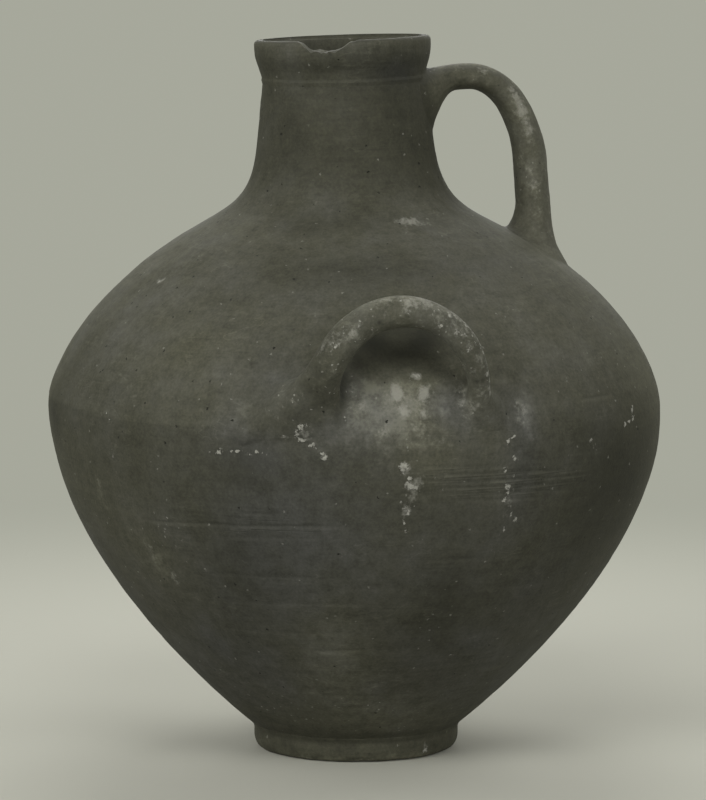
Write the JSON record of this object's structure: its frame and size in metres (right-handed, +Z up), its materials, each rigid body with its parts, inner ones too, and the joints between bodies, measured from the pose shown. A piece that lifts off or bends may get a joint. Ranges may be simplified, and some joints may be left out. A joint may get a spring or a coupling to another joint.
{
  "type": "clay water jug",
  "caption": "Round-bellied clay water jug with a narrow neck, collared rim, upright pouring handle, two side carrying handles and a ring foot.",
  "frame": {"origin": "on the ground under the middle of the foot ring, which is also the middle of the part's bounding box to within 1 mm", "axes": "+Z up along the jug's axis, +X towards the pouring handle, -Y towards the side handle that the picture shows"},
  "size_m": [0.3471, 0.3771, 0.4061],
  "materials": {
    "foot_clay": "unglazed, matt, dark grey-olive, worn at the edge",
    "lower_clay": "unglazed, matt, dark grey-olive, with wheel lines and lime specks",
    "upper_clay": "unglazed, matt, grey-olive, dusty on the shoulder",
    "neck_clay": "unglazed, matt, dark grey-olive",
    "rim_clay": "unglazed, matt, dark grey-olive, paler where the rim is chipped",
    "pouring_handle_clay": "unglazed, matt, grey-olive, paler where it is worn",
    "side_handle_clay": "unglazed, matt, grey-olive with pale lime specks"
  },
  "bodies": {
    "root": {"foot_ring": "foot_clay", "lower_body": "lower_clay", "upper_body": "upper_clay", "neck": "neck_clay", "rim_collar": "rim_clay", "pouring_handle": "pouring_handle_clay", "side_handle_front": "side_handle_clay", "side_handle_back": "side_handle_clay"}
  },
  "joints": []
}
